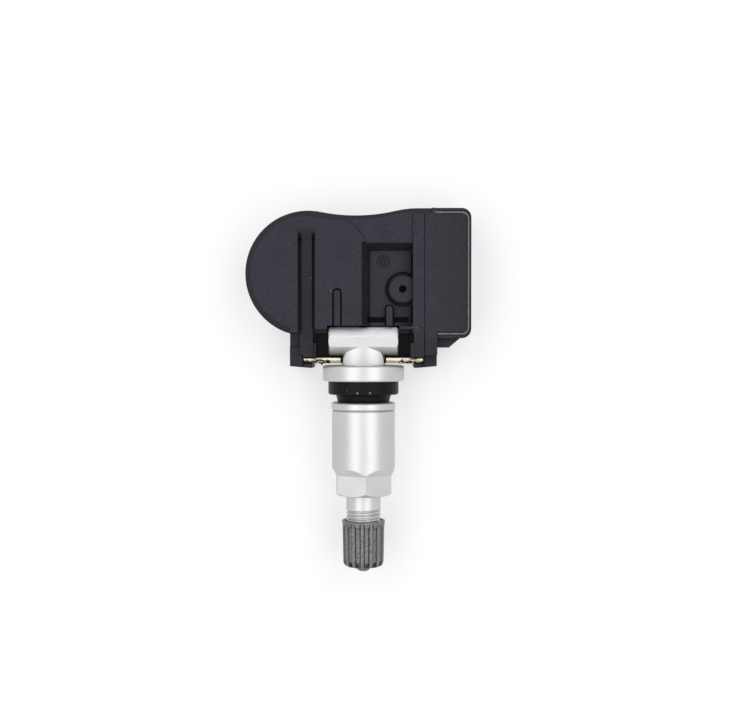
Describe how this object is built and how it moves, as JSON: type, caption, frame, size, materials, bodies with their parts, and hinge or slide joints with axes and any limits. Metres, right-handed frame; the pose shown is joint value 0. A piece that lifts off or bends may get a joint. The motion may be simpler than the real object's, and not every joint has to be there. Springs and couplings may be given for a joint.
{
  "type": "tyre pressure sensor",
  "caption": "Clamp-in tyre pressure sensor: moulded housing with battery and electronics bays, hinged on an aluminium valve with grommet, nut and cap.",
  "frame": {"origin": "on the valve's axis, in the plane of the collar face that looks at the wheel rim", "axes": "+Y along the valve into the tyre, towards the housing; +Z out of the housing's front; +X to the electronics bay"},
  "size_m": [0.0501, 0.0814, 0.0187],
  "materials": {
    "moulded_nylon": "black glass-filled nylon, fine spark-eroded moulding texture",
    "cover_nylon": "black glass-filled nylon, smooth moulded",
    "joint_bead": "pale joint line of re-melted nylon",
    "anodised_alloy": "turned and clear anodised aluminium, satin",
    "clip_steel": "stamped stainless steel with torn edges",
    "grommet_rubber": "black EPDM rubber",
    "cap_plastic": "grey moulded plastic with a mottled grain",
    "cell_steel": "nickel-plated steel can",
    "tab_nickel": "nickel strip",
    "board_laminate": "green solder mask on glass epoxy laminate",
    "chip_epoxy": "moulded epoxy",
    "lead_tin": "tinned leads",
    "gasket_silicone": "soft red silicone rubber",
    "crystal_can": "nickel-plated lid",
    "ferrite": "sintered ferrite",
    "winding_copper": "enamelled copper wire",
    "antenna_brass": "stamped brass strip",
    "capacitor_ceramic": "sintered ceramic",
    "core_brass": "turned brass",
    "core_rubber": "black rubber",
    "spring_steel": "drawn spring steel wire"
  },
  "bodies": {
    "housing": {"front_housing": "moulded_nylon", "rear_cover": "cover_nylon", "seam_bead": "joint_bead", "retaining_clip": "clip_steel", "battery_cell": "cell_steel", "battery_tab_positive": "tab_nickel", "battery_tab_negative": "tab_nickel", "circuit_board": "board_laminate", "sensor_chip": "chip_epoxy", "sensor_chip_leads": "lead_tin", "port_gasket": "gasket_silicone", "crystal": "crystal_can", "lf_coil_core": "ferrite", "lf_coil_winding": "winding_copper", "rf_antenna": "antenna_brass", "capacitors": "capacitor_ceramic"},
    "valve": {"valve_stem": "anodised_alloy", "rim_grommet": "grommet_rubber", "core_plug": "core_brass", "core_barrel": "core_brass", "core_gasket": "core_rubber", "core_spring": "spring_steel"},
    "nut_carrier": {"nut_washer": "anodised_alloy"},
    "nut": {"collar_nut": "anodised_alloy"},
    "cap_carrier": {"cap_seal": "core_rubber"},
    "cap": {"valve_cap": "cap_plastic"},
    "core_plunger": {"core_pin": "core_brass", "core_cup": "core_rubber"}
  },
  "joints": [
    {"name": "valve_tilt", "type": "hinge", "parent": "housing", "child": "valve", "pos_m": [0, 0.00893, 0], "axis": [-1, 0, 0], "range_deg": [0, 30]},
    {"name": "nut_travel", "type": "slide", "parent": "valve", "child": "nut_carrier", "axis": [0, -1, 0], "range_m": [0, 0.0045]},
    {"name": "nut_turn", "type": "hinge", "parent": "nut_carrier", "child": "nut", "pos_m": [0, -0.016, 0], "axis": [0, -1, 0], "range_deg": [0, 2160]},
    {"name": "cap_travel", "type": "slide", "parent": "valve", "child": "cap_carrier", "axis": [0, -1, 0], "range_m": [0, 0.00952]},
    {"name": "cap_turn", "type": "hinge", "parent": "cap_carrier", "child": "cap", "pos_m": [0, -0.036, 0], "axis": [0, -1, 0], "range_deg": [0, 4320]},
    {"name": "pin_press", "type": "slide", "parent": "valve", "child": "core_plunger", "axis": [0, 1, 0], "range_m": [0, 0.0013], "stiffness_N_per_m": 1500, "deforming": ["core_spring"]}
  ],
  "couplings": [
    {"joint": "nut_turn", "follows": "nut_travel", "rad_per_m": 8377.6},
    {"joint": "cap_turn", "follows": "cap_travel", "rad_per_m": 7915.8}
  ]
}
